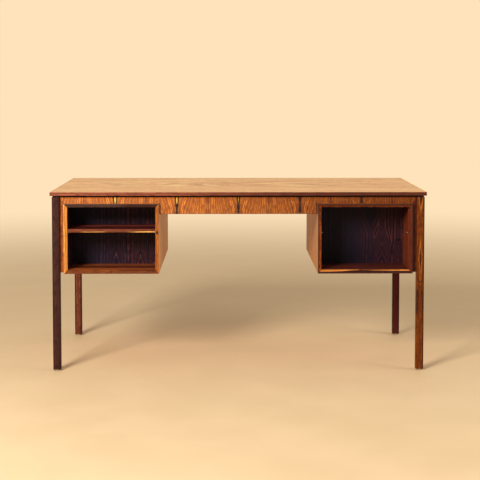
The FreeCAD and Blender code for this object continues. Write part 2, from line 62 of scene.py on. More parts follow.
# The redder arches of each divider: middle and tip from its lower left corner, slope, reach
ARCHES = {
    "left": ((0.182, 0.076, 0.32, 0.05), (0.282, 0.058, 0.4, 0.04), (0.342, 0.048, 0.35, 0.03)),
    "right": ((0.221, 0.13, -0.42, 0.08), (0.269, 0.148, 0.4, 0.06), (0.336, 0.098, 0.3, 0.03)),
}


def linear(code):
    """The linear colour of a six digit screen colour."""
    parts = [int(code[place : place + 2], 16) / 255 for place in (0, 2, 4)]
    return tuple(part / 12.92 if part <= 0.04045 else ((part + 0.055) / 1.055) ** 2.4 for part in parts)


def stain(name, description, code):
    """A colour that can be set, with a six digit screen colour as its default."""
    return bpy.props.FloatVectorProperty(
        name=name, description=description, subtype="COLOR", size=3, min=0, max=1, default=linear(code)
    )


def length(name, description, default):
    """A length in metres that can be set."""
    return bpy.props.FloatProperty(name=name, description=description, unit="LENGTH", min=0, default=default)


def amount(name, description, default, least=0.0):
    """A plain number that can be set."""
    return bpy.props.FloatProperty(name=name, description=description, min=least, default=default)


class TopLook(bpy.types.PropertyGroup):
    """Veneered top and its solid lippings."""

    # The veneer's pale middle colour is partly the wood's own tan and partly painted sheen, for the
    # backdrop's reflection on the top
    veneer: stain("Veneer", "Middle colour of the top's veneer", "ffc488")
    lipping: stain("Lipping", "Middle colour of the solid edge strips at the left end", "954e34")
    lipping_right: stain("Right lipping", "Middle colour of the solid edge strips at the right end", "5c2818")
    # Painted sheen: the upper faces and rounded arris of the lippings, with a painted highlight along the
    # arris
    lipping_top_sheen: stain("Lipping top", "Middle colour of the upper faces of the edge strips", "f0b577")
    # The spacers are stained dark; the same colour is painted shade under the lippings, in the shadow gap
    spacer: stain("Spacer", "Colour of the recessed strips in the shadow gap", "1a0f0c")


class ApronLook(bpy.types.PropertyGroup):
    """Upright book-matched leaves of the aprons, the end panels and the drawer fronts."""

    leaf: length("Leaf", "Width of one veneer leaf", 0.123)
    # The leaves darken from the left end to the right: partly their own colours, partly a painted falloff of
    # the light from the left
    left: stain("Left leaves", "Middle colour of the leaves at the left end", "da8439")
    right: stain("Right leaves", "Middle colour of the leaves at the right end", "8c480b")
    heart: stain("Heart", "Colour of the dark heart at each second joint", "2a1109")
    sapwood: stain("Sapwood", "Colour of the pale streaks in the heart", "cda545")
    panel: stain("End panel", "Middle colour of the end panels", "8f4a20")
    left_strip: stain("Left strip", "Front edge of the left end panel, beside the leg", "d67428")
    left_shade: stain("Left shade", "Darker half of that edge, beside the box", "8e4c1c")
    # The right edge's dark colour is partly painted shadow, cast by the right box beside it
    right_strip: stain("Right strip", "Front edge of the right end panel", "601d0e")


class LegLook(bpy.types.PropertyGroup):
    """Solid legs."""

    front_left: stain("Front left", "Middle colour of the front left leg", "43231d")
    front_right: stain("Front right", "Middle colour of the front right leg", "7e3f0b")
    rear_left: stain("Rear left", "Middle colour of the rear left leg", "7a4029")
    rear_right: stain("Rear right", "Middle colour of the rear right leg", "60221a")
    band: stain("Band", "Light bands beside the heart of the front right leg", "b4661a")
    heart: stain("Heart", "Dark heart of the front right leg", "36180e")
    # Flank is both the dark wood round the front right leg's light core and the painted shade on the legs'
    # left and right faces
    flank_and_side_shade: stain("Flank", "Darker wood along the left and right sides of each leg", "3c1a12")
    # The cap is painted shade at each leg's upper end, in the shadow gap
    cap_shade: stain("Cap", "Dark upper end of each leg, in the shadow gap", "24100c")


class BoxLook(bpy.types.PropertyGroup):
    """Mitred boxes: the bevelled edges of the eight boards, their faces, the dividers and the shelf."""

    # The eight edge colours differ partly by the wood and partly by painted light and shade, each set to how
    # lit its bevel looks: the left top's bevel, which faces down, is painted dark, the left outer one painted
    # bright
    left_outer: stain("Left outer edge", "Edge of the left box's outer side", "ffa84a")
    left_inner: stain("Left inner edge", "Edge of the left box's inner side", "c0722c")
    left_top: stain("Left top edge", "Edge of the left box's top", "664c48")
    left_bottom: stain("Left bottom edge", "Edge of the left box's bottom", "7c3f17")
    right_outer: stain("Right outer edge", "Edge of the right box's outer side", "66260c")
    right_inner: stain("Right inner edge", "Edge of the right box's inner side", "a44e0c")
    right_top: stain("Right top edge", "Edge of the right box's top", "844225")
    right_bottom: stain("Right bottom edge", "Edge of the right box's bottom", "320f0a")
    # The rim colour is the right box's own dark flat fronts, and painted shade on the left box's top edge and
    # where the inner sides pass behind the aprons
    rim: stain("Rim", "Dark flat front of the right box's boards and of the left box's top", "35150d")
    # The inside colour is dark partly as painted shade in the compartments
    inside: stain("Inside", "Middle colour of the compartments' roofs and inner walls", "3a1612")
    left_floor: stain("Left floor", "Middle colour of the left compartment's floor", "964a20")
    right_floor: stain("Right floor", "Middle colour of the right compartment's floor", "6c3026")
    # The left wall is painted dark, as painted shade where the light does not reach
    left_wall: stain("Left wall", "Middle colour of the left compartment's outer wall", "38202c")
    right_wall: stain("Right wall", "Middle colour of the right compartment's outer wall", "8e4220")
    # The outside colours are pale partly as painted sheen, for the backdrop's reflection on these faces; the
    # left one is paler still as painted light, for the lamps reaching it less
    outside_left: stain("Left outside", "Middle colour of the left box's outer faces", "efae6a")
    outside_right: stain("Right outside", "Middle colour of the right box's outer faces", "d08a4c")
    streak: stain("Streak", "Sapwood along the front of the right box's floor", "dc8a3c")
    knot: stain("Knot", "Small knots in the left front edges", "2a120a")
    divider: stain("Divider", "Middle colour of the panel behind the compartments", "17132a")
    divider_light: stain("Light of divider", "Colour of that panel's redder arches", "5c2822")
    shelf: stain("Shelf", "Middle colour of the shelf", "8a3a30")
    shelf_front: stain("Shelf front", "Middle colour of the shelf's front edge", "824320")
    shelf_glow: stain("Shelf glow", "Lighter wood along the upper part of that edge, at the left", "a4561f")
    shelf_edge: stain("Shelf edge", "Sapwood along the lower part of the shelf's front edge", "ffbc62")


class DrawerLook(bpy.types.PropertyGroup):
    """Drawers and their runners."""

    front: stain("Front", "Middle colour of the drawer fronts", "8c4a22")
    body: stain("Body", "Colour of the sides and backs", "c69a63")
    bottom: stain("Bottom", "Colour of the thin bottoms", "cfa875")
    runner: stain("Runner", "Colour of the runners", "b98c58")


class FittingLook(bpy.types.PropertyGroup):
    """Screws, shelf pins, glides and the hidden rails."""

    steel: stain("Steel", "Colour of the screws", "c8bcb2")
    pin: stain("Pin", "Colour of the shelf pins", "5c5c5a")
    nickel: stain("Nickel", "Colour of the glides", "e6e2d8")
    rail: stain("Rail", "Colour of the rails behind the aprons", "6b4027")
    soft_edge: length("Soft edge", "Width of the softening on each board's edges", 0.0005)


class StudioLook(bpy.types.PropertyGroup):
    """Floor, background, lamps and camera."""

    backdrop: stain("Backdrop", "Colour behind the desk", "ffe3ba")
    floor: stain("Floor", "Colour of the floor", "d9bc92")
    sky: amount("Sky", "Strength of the light from all round", 0.42)
    key: amount("Key", "Power of the large lamp at the left, in watts", 325.0)
    fill: amount("Fill", "Power of the lamp at the right, in watts", 48.0)
    lens: amount("Lens", "Focal length in millimetres", 92.25, 1.0)


class DeskLook(bpy.types.PropertyGroup):
    """Everything that can be set on the desk."""

    top: bpy.props.PointerProperty(type=TopLook)
    apron: bpy.props.PointerProperty(type=ApronLook)
    leg: bpy.props.PointerProperty(type=LegLook)
    box: bpy.props.PointerProperty(type=BoxLook)
    drawer: bpy.props.PointerProperty(type=DrawerLook)
    fitting: bpy.props.PointerProperty(type=FittingLook)
    studio: bpy.props.PointerProperty(type=StudioLook)


def feed(tree, made, inputs):
    """Sets each input of a node to a value, or links it to another node's output."""
    for name, source in inputs.items():
        if isinstance(source, bpy.types.NodeSocket):
            tree.links.new(source, made.inputs[name])
        else:
            made.inputs[name].default_value = source


def node(tree, kind, inputs=None, **settings):
    """Adds a shader node; each input is a value or another node's output."""
    made = tree.nodes.new("ShaderNode" + kind)
    for name, setting in settings.items():
        setattr(made, name, setting)
    feed(tree, made, inputs or {})
    return made


def calc(tree, operation, *values):
    """The outcome of one Math node."""
    return node(tree, "Math", dict(enumerate(values)), operation=operation).outputs[0]


def times(tree, first, *others):
    """The product of two or more values."""
    for other in others:
        first = calc(tree, "MULTIPLY", first, other)
    return first


def away(tree, value, middle):
    """How far a value is from the middle, on either side of it."""
    return calc(tree, "ABSOLUTE", calc(tree, "SUBTRACT", value, middle))


def ramp(tree, value, low, high, to_low=0.0, to_high=1.0):
    """A smooth step of the value between low and high."""
    inputs = {"Value": value, "From Min": low, "From Max": high, "To Min": to_low, "To Max": to_high}
    return node(tree, "MapRange", inputs, interpolation_type="SMOOTHSTEP").outputs["Result"]


def between(tree, value, low, high, soft):
    """1 from low to high, with soft ends of that width."""
    rise = ramp(tree, value, low - soft, low + soft)
    return times(tree, rise, ramp(tree, value, high + soft, high - soft))


def solid(colour):
    """A plain colour with the fourth part that a socket wants; an output stays as it is."""
    return colour if isinstance(colour, bpy.types.NodeSocket) else (*colour[:3], 1.0)


def mix(tree, share, first, second):
    """A colour between two others; sockets 6, 7 and 2 are the colour ones."""
    inputs = {0: share, 6: solid(first), 7: solid(second)}
    return node(tree, "Mix", inputs, data_type="RGBA").outputs[2]


def vector(tree, operation, *values):
    """The outcome of one Vector Math node, which for a distance or a length is a number."""
    made = node(tree, "VectorMath", dict(enumerate(values)), operation=operation)
    return made.outputs["Value" if operation in ("DISTANCE", "LENGTH") else "Vector"]


def noise(tree, where, scale, detail=2.0, rough=0.5, seed=None):
    """Soft noise over a place; a seed gives another pattern of the same kind."""
    if seed is None:
        inputs, size = {"Vector": where}, "3D"
    else:
        inputs, size = {"Vector": where, "W": seed}, "4D"
    inputs |= {"Scale": scale, "Detail": detail, "Roughness": rough}
    return node(tree, "TexNoise", inputs, noise_dimensions=size).outputs[0]


def row_noise(tree, number, detail, rough=0.6):
    """Soft noise along a row of numbers, with about one wave to each."""
    inputs = {"W": number, "Scale": 1.0, "Detail": detail, "Roughness": rough}
    return node(tree, "TexNoise", inputs, noise_dimensions="1D").outputs[0]


def new_group(name, inputs, outputs, outputs_kind="Float"):
    """A shader node group with named sockets; returns its tree, its given values and its last node."""
    tree = bpy.data.node_groups.new(name, "ShaderNodeTree")
    for socket, kind, default in inputs:
        made = tree.interface.new_socket(socket, in_out="INPUT", socket_type="NodeSocket" + kind)
        made.default_value = default
    for socket in outputs:
        tree.interface.new_socket(socket, in_out="OUTPUT", socket_type="NodeSocket" + outputs_kind)
    return tree, tree.nodes.new("NodeGroupInput").outputs, tree.nodes.new("NodeGroupOutput")


def figure_group():
    """Growth rings, dark lines, flecks, fibres and pores of rosewood whose grain runs along the place's Z."""
    if "rosewood_figure" in bpy.data.node_groups:
        return bpy.data.node_groups["rosewood_figure"]
    tree, given, out = new_group(
        "rosewood_figure",
        [
            ("Place", "Vector", (0, 0, 0)),
            ("Pith", "Vector", (0, 0, 0)),
            ("Tilt", "Float", 0.0),
            ("Sway", "Float", 0.0),
            ("Lean", "Float", 0.0),
            ("Rings", "Float", 60.0),
            ("Warp", "Float", 0.02),
            ("Seed", "Float", 0.0),
        ],
        FIGURE,
    )
    place, seed = given["Place"], given["Seed"]
    slow = vector(tree, "MULTIPLY", place, (1.0, 1.0, 0.14))
    drift = calc(tree, "SUBTRACT", noise(tree, slow, 7.0, 2.0, 0.5, seed), 0.5)
    wobble = calc(tree, "SUBTRACT", noise(tree, slow, 38.0, 2.0, 0.5, seed), 0.5)
    # The pith tilts and sways along the grain, which opens the rings into arches and eyes
    parts = node(tree, "SeparateXYZ", {0: place}).outputs
    swing = calc(tree, "SUBTRACT", row_noise(tree, calc(tree, "MULTIPLY_ADD", parts[2], 7.0, seed), 1.0), 0.5)
    shift = times(tree, swing, given["Sway"])
    shift = calc(tree, "MULTIPLY_ADD", parts[2], given["Tilt"], shift)
    flat = node(tree, "CombineXYZ", {0: parts[0], 1: calc(tree, "SUBTRACT", parts[1], shift)}).outputs[0]
    field = vector(tree, "DISTANCE", flat, given["Pith"])
    bend = calc(tree, "MULTIPLY_ADD", wobble, 0.16, drift)
    field = calc(tree, "MULTIPLY_ADD", bend, given["Warp"], field)
    field = calc(tree, "ADD", field, given["Lean"])
    rings = calc(tree, "MULTIPLY_ADD", field, given["Rings"], times(tree, seed, 13.7))
    bands = row_noise(tree, rings, 4.0)
    # A thin dark line wherever this second row of noise passes its middle value
    thin = away(tree, row_noise(tree, calc(tree, "ADD", rings, 41.3), 2.0), 0.5)
    tone = noise(tree, vector(tree, "MULTIPLY", place, (13.0, 13.0, 2.2)), 1.0, 2.0, 0.5, seed)
    clouds = noise(tree, vector(tree, "MULTIPLY", place, (60.0, 60.0, 11.0)), 1.0, 3.0, 0.55, seed)
    flecks = noise(tree, vector(tree, "MULTIPLY", place, (120.0, 120.0, 42.0)), 1.0, 1.0, 0.5, seed)
    fibre = noise(tree, vector(tree, "MULTIPLY", place, (420.0, 420.0, 9.0)), 1.0, 2.0)
    pores = noise(tree, vector(tree, "MULTIPLY", place, (760.0, 760.0, 30.0)), 1.0, 1.0)
    found = {
        "Bands": ramp(tree, bands, 0.36, 0.64),
        "Lines": ramp(tree, thin, 0.035, 0.0),
        "Tone": ramp(tree, tone, 0.35, 0.65),
        "Clouds": ramp(tree, clouds, 0.35, 0.65),
        "Flecks": ramp(tree, flecks, 0.5, 0.62),
        "Fibre": ramp(tree, fibre, 0.3, 0.7),
        "Pores": ramp(tree, pores, 0.6, 0.72),
    }
    feed(tree, out, found)
    return tree


def tone_group():
    """Colours a figure round one middle colour: light and dark bands, clouds, flecks and fine marks."""
    if "rosewood_tone" in bpy.data.node_groups:
        return bpy.data.node_groups["rosewood_tone"]
    inputs = [(name, "Float", 0.0) for name in FIGURE]
    inputs += [("Middle", "Color", (0.5, 0.5, 0.5, 1.0)), ("Contrast", "Float", 1.0)]
    tree, given, out = new_group("rosewood_tone", inputs, ("Colour",), "Color")
    middle = given["Middle"]
    line, dark, light = (
        vector(tree, "MINIMUM", vector(tree, "MULTIPLY", middle, tone), (1.0, 1.0, 1.0)) for tone in TONES
    )

    def most(share):
        return calc(tree, "MINIMUM", times(tree, given["Contrast"], share), 1.0)

    deep = ramp(tree, given["Bands"], 0.55, 0.0, 0.0, most(0.9))
    pale = ramp(tree, given["Bands"], 0.5, 1.0, 0.0, most(0.8))
    face = mix(tree, pale, mix(tree, deep, middle, dark), light)
    for name, share in (("Tone", 0.3), ("Clouds", 0.3), ("Flecks", 0.65), ("Fibre", 0.2)):
        face = mix(tree, times(tree, given[name], most(share)), face, dark)
    marks = calc(tree, "MAXIMUM", given["Lines"], given["Pores"])
    feed(tree, out, {"Colour": mix(tree, times(tree, marks, most(0.7)), face, line)})
    return tree


def knot_group():
    """Nearly 1 in the middle of a knot and 0 past its reach, which is half its size along X, Y and Z."""
    if "wood_knot" in bpy.data.node_groups:
        return bpy.data.node_groups["wood_knot"]
    inputs = [("Place", "Vector", (0, 0, 0)), ("Centre", "Vector", (0, 0, 0)), ("Reach", "Vector", (1, 1, 1))]
    tree, given, out = new_group("wood_knot", inputs, ("Knot",))
    off = vector(tree, "DIVIDE", vector(tree, "SUBTRACT", given["Place"], given["Centre"]), given["Reach"])
    feed(tree, out, {"Knot": ramp(tree, vector(tree, "LENGTH", off), 1.0, 0.5, 0.0, 0.9)})
    return tree


def turned_place(tree, order):
    """Object coordinates in another order: across the face, into the wood, along the grain."""
    place = node(tree, "TexCoord").outputs["Object"]
    parts = node(tree, "SeparateXYZ", {0: place}).outputs
    x, y, z = (parts["xyz".index(letter)] for letter in order)
    found = {"x": parts[0], "y": parts[1], "z": parts[2], "all": place}
    return found, node(tree, "CombineXYZ", {0: x, 1: y, 2: z}).outputs[0]


def toned(colour, tone):
    """The line, dark or light colour of the wood with that middle colour."""
    return [min(1.0, part * share) for part, share in zip(colour, TONES[tone])]


def wood_colour(tree, figure, colour, contrast=1.0):
    """The colour of a face with that figure, from its middle colour."""
    inputs = {name: figure.outputs[name] for name in FIGURE}
    inputs |= {"Middle": solid(colour), "Contrast": contrast}
    return node(tree, "Group", inputs, node_tree=tone_group()).outputs["Colour"]


def new_material(name):
    """A new material with its node tree and its Principled shader."""
    made = bpy.data.materials.new(name)
    made.use_nodes = True
    tree = made.node_tree
    shader = tree.nodes["Principled BSDF"]
    return made, tree, shader


def figured(tree, place, pith, rings, warp, seed, lean=0.0, tilt=0.0, sway=0.0):
    """The figure round a pith, with that many rings to the metre."""
    inputs = {"Place": place, "Pith": (*pith, 0.0), "Rings": rings, "Warp": warp, "Seed": seed}
    inputs |= {"Lean": lean, "Tilt": tilt, "Sway": sway}
    return node(tree, "Group", inputs, node_tree=figure_group())


def finish(tree, shader, figure, colour, gloss=0.45, shine=0.2):
    """A thin satin finish over the wood: pores stay a little open and duller."""
    dull = ramp(tree, figure.outputs["Pores"], 0.0, 1.0, gloss, gloss + 0.2)
    dull = calc(tree, "MULTIPLY_ADD", figure.outputs["Fibre"], 0.06, dull)
    height = calc(tree, "MULTIPLY_ADD", figure.outputs["Pores"], -1.0, figure.outputs["Fibre"])
    bump = node(tree, "Bump", {"Height": height, "Strength": 0.12, "Distance": 0.0003})
    inputs = {"Base Color": colour, "Roughness": dull, "Specular IOR Level": shine, "Normal": bump.outputs[0]}
    feed(tree, shader, inputs)


def plain_wood(
    name, order, colour, pith=(0.1, -0.03), rings=60.0, warp=0.05, seed=0.0, contrast=1.0, patches=(),
    shine=0.2, **turns
):
    """One board of wood with its grain along the last letter of the order."""
    made, tree, shader = new_material(name)
    parts, place = turned_place(tree, order)
    figure = figured(tree, place, pith, rings, warp, seed, **turns)
    face = wood_colour(tree, figure, colour, contrast)
    finish(tree, shader, figure, patched(tree, parts, figure, face, patches), shine=shine)
    return made


def patched(tree, parts, figure, face, patches):
    """Lays woods of other colours over a face where a coordinate passes from one limit to the next.
    Each patch is (letter, start, end, colour, contrast); the later ones lie over the earlier ones."""
    for letter, start, end, other, strength in patches:
        over = wood_colour(tree, figure, other, strength)
        face = mix(tree, ramp(tree, parts[letter], start, end), face, over)
    return face


def striped(tree, face, where, per_metre, seed, colour, share):
    """Broad stripes of that wood's dark colour, across the given coordinate."""
    wave = row_noise(tree, calc(tree, "MULTIPLY_ADD", where, per_metre, seed), 1.0)
    return mix(tree, ramp(tree, wave, 0.35, 0.65, 0.0, share), face, toned(colour, DARK))


def streaked(tree, face, where, colour, streaks, soft=0.006):
    """Single streaks across a coordinate, each (low, high, tone, share)."""
    for low, high, tone, share in streaks:
        band = times(tree, between(tree, where, low, high, soft), share)
        face = mix(tree, band, face, toned(colour, tone))
    return face


def knotted(tree, face, parts, centre, reach, colour):
    """A small dark knot at a point, with half its size along X, Y and Z."""
    inputs = {"Place": parts["all"], "Centre": centre, "Reach": reach}
    knot = node(tree, "Group", inputs, node_tree=knot_group()).outputs["Knot"]
    return mix(tree, knot, face, colour)


def arched(tree, parts, corner, spots):
    """A field with upright contours, which close into nested arches below the tip of each spot.
    A spot is (middle, tip, slope, reach), the first two measured along X and Z from the corner.
    With a slope under 0 the contours close into V's above the tip."""
    field = None
    for middle, tip, slope, reach in spots:
        side = away(tree, parts["x"], corner.x + middle)
        drop = times(tree, calc(tree, "SUBTRACT", parts["z"], corner.z + tip), slope)
        drop = calc(tree, "MINIMUM", drop, 0.0)
        arch = calc(tree, "MULTIPLY_ADD", drop, ramp(tree, side, reach, 0.3 * reach), side)
        field = arch if field is None else calc(tree, "SMOOTH_MIN", field, arch, 0.01)
    return field


def dress(name, material):
    """Gives a CAD node one material, which its record's slot keeps naming."""
    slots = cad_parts[name].data.materials
    slots.clear()
    slots.append(material)


def soften(context, *names):
    """A fine softened edge on each board: doubles are welded first, so that the bevel finds the edges."""
    wide = context.scene.writing_desk.fitting.soft_edge
    for name in names:
        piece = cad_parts[name]
        weld = piece.modifiers.new("weld", "WELD")
        weld.merge_threshold = 0.00001
        bevel = piece.modifiers.new("soft_edge", "BEVEL")
        bevel.width = wide
        bevel.segments = 2
        bevel.limit_method = "ANGLE"
        bevel.angle_limit = math.radians(40)


class DESK_OT_top(bpy.types.Operator):
    """Finishes the top, its lippings and the strips in the shadow gap"""

    bl_idname = "desk.top"
    bl_label = "Top"

    def execute(self, context):
        look = context.scene.writing_desk.top
        veneer, tree, shader = new_material("top_rosewood")
        parts, place = turned_place(tree, "yzx")
        figure = figured(tree, place, (0.05, 0.12), 120.0, 0.06, 3.1, tilt=0.06)
        # Its pale colour is partly painted sheen
        face = wood_colour(tree, figure, look.veneer, 0.62)
        face = striped(tree, face, parts["y"], 8.0, 1.5, look.veneer, 0.17)
        finish(tree, shader, figure, face, 0.47, 0.5)
        dress("top_panel", veneer)
        # The lippings darken towards the right; underneath they take painted shade from the shadow gap, and
        # their upper faces and rounded upper arris are painted pale, as painted sheen with a painted
        # highlight along the arris
        low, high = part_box("top_lipping_long")
        patches = [
            ("x", -0.5, 0.3, look.lipping_right, 1.0),
            ("z", low.z + 0.0014, low.z + 0.0006, look.spacer, 1.0),
            ("z", high.z - 0.0008, high.z - 0.0004, look.lipping_top_sheen, 0.5),
        ]
        for run, order, seed in (("long", "zyx", 7.7), ("short", "zxy", 9.2)):
            wood = plain_wood(
                run + "_lipping_rosewood", order, look.lipping, (0.3, 0.0), 190.0, 0.05, seed, 1.1, patches
            )
            dress("top_lipping_" + run, wood)
        dress("top_spacers", plain_wood("spacer_wood", "zyx", look.spacer))
        return {"FINISHED"}


def matched(name, look, seed):
    """Upright leaves, each second one turned over, so that the figure is mirrored at every joint."""
    made, tree, shader = new_material(name + "_rosewood")
    parts, _ = turned_place(tree, "xyz")
    run, high = parts["x"], parts["z"]
    low, top = (corner.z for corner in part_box(name))
    leaf = look.leaf
    fold = calc(tree, "PINGPONG", run, leaf)
    back = calc(tree, "SUBTRACT", leaf, fold)
    number = calc(tree, "FLOOR", calc(tree, "DIVIDE", run, leaf))
    place = node(tree, "CombineXYZ", {0: fold, 1: times(tree, number, 0.0006), 2: high}).outputs[0]
    # The lines stand upright at both joints and lean over between them
    bow = times(tree, fold, calc(tree, "POWER", back, 2.0))
    rise = calc(tree, "SUBTRACT", high, (low + top) / 2)
    figure = figured(tree, place, (-0.3, 0.0), 150.0, 0.03, seed, times(tree, bow, rise, -1150.0))
    first, second = (wood_colour(tree, figure, colour, 1.35) for colour in (look.left, look.right))
    # Partly the leaves' own colours, partly a painted falloff of the light from the left
    face = mix(tree, ramp(tree, run, -0.7, 0.7), first, second)
    # The heart: a dark spindle at each second joint, with a pale streak inside it at the left
    joint = calc(tree, "ROUND", calc(tree, "DIVIDE", run, 2 * leaf))
    swell = row_noise(tree, calc(tree, "MULTIPLY_ADD", high, 45.0, times(tree, joint, 5.3)), 1.0)
    wide = ramp(tree, swell, 0.3, 0.7, 0.001, 0.006)
    face = mix(tree, ramp(tree, fold, 0.02, 0.0, 0.0, 0.5), face, look.heart)
    face = mix(tree, ramp(tree, calc(tree, "SUBTRACT", wide, fold), -0.0018, 0.0008), face, look.heart)
    left = ramp(tree, joint, 1.0, -2.2)
    reach = times(tree, left, ramp(tree, high, low + 0.034, low + 0.056))
    core = calc(tree, "SUBTRACT", times(tree, reach, 0.004), fold)
    rim = times(tree, ramp(tree, core, -0.0066, -0.0034), ramp(tree, reach, 0.0, 0.3))
    face = mix(tree, rim, face, look.heart)
    pale = times(tree, ramp(tree, core, -0.0007, 0.0005), ramp(tree, reach, 0.05, 0.3))
    face = mix(tree, pale, face, look.sapwood)
    # The other joints show as a hairline, and the lower edge is darker; the upper edge is darkened as painted
    # shade from the shadow gap under the top
    face = mix(tree, ramp(tree, back, 0.0012, 0.0005, 0.0, 0.55), face, look.heart)
    face = mix(tree, ramp(tree, high, low + 0.0024, low + 0.0008, 0.0, 0.6), face, look.heart)
    face = mix(tree, ramp(tree, high, top - 0.0014, top - 0.0008), face, look.heart)
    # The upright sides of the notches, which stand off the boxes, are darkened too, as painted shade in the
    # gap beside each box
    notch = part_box("right_box_inner_side")[0].x - NOTCH_GAP
    box_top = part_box("right_box_top")[1].z
    side = between(tree, calc(tree, "ABSOLUTE", run), notch - 0.0036, notch + 0.0002, 0.0014)
    side = times(tree, side, ramp(tree, high, box_top + 0.0035, box_top + 0.002))
    face = mix(tree, side, face, look.heart)
    finish(tree, shader, figure, face)
    return made


class DESK_OT_aprons(bpy.types.Operator):
    """Finishes both aprons in upright book-matched leaves"""

    bl_idname = "desk.aprons"
    bl_label = "Aprons"

    def execute(self, context):
        look = context.scene.writing_desk.apron
        for name, seed in (("front_apron", 2.3), ("rear_apron", 6.1)):
            dress(name, matched(name, look, seed))
        return {"FINISHED"}


class DESK_OT_panels(bpy.types.Operator):
    """Finishes the end panels and the rails and tenons that they hide"""

    bl_idname = "desk.panels"
    bl_label = "End panels and rails"

    def execute(self, context):
        look = context.scene.writing_desk
        for side, seed in zip(SIDES, (4.4, 8.9)):
            name = side + "_end_panel"
            low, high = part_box(name)
            made, tree, shader = new_material(name + "_rosewood")
            parts, place = turned_place(tree, "yxz")
            figure = figured(tree, place, (0.05, -0.1), 120.0, 0.045, seed, tilt=0.2, sway=0.05)
            face = wood_colour(tree, figure, look.apron.panel)
            # The right panel's edge colour is dark partly as painted shadow of the right box
            edge = wood_colour(tree, figure, getattr(look.apron, side + "_strip"), 1.5)
            if side == "left":
                edge = self.spotted(tree, edge, parts, low, high, look)
            face = mix(tree, ramp(tree, parts["y"], low.y + 0.001, low.y + 0.0005), face, edge)
            # Painted shade along the panel's upper edge, in the shadow gap
            face = mix(tree, ramp(tree, parts["z"], high.z - 0.0006, high.z - 0.0003), face, look.apron.heart)
            finish(tree, shader, figure, face)
            dress(name, made)
        rail = plain_wood("rail_wood", "zyx", look.fitting.rail, contrast=0.5)
        for name in ("hanging_rails", "loose_tenons"):
            dress(name, rail)
        return {"FINISHED"}

    def spotted(self, tree, edge, parts, low, high, look):
        """The left panel's front edge: darker beside the box, with a row of dark spots and one knot."""
        shade = ramp(tree, parts["x"], high.x - 0.0105, high.x - 0.0065)
        edge = mix(tree, shade, edge, look.apron.left_shade)
        beat = ramp(tree, row_noise(tree, times(tree, parts["z"], 95.0), 1.0), 0.5, 0.62)
        share = ramp(tree, parts["z"], low.z + 0.064, low.z + 0.124, 0.35, 0.85)
        row = between(tree, parts["x"], high.x - 0.0098, high.x - 0.0058, 0.0012)
        edge = mix(tree, times(tree, beat, share, row), edge, look.box.knot)
        knot = (high.x - 0.005, 0.0, low.z + 0.071)
        return knotted(tree, edge, parts, knot, (0.0034, 1.0, 0.013), look.box.knot)


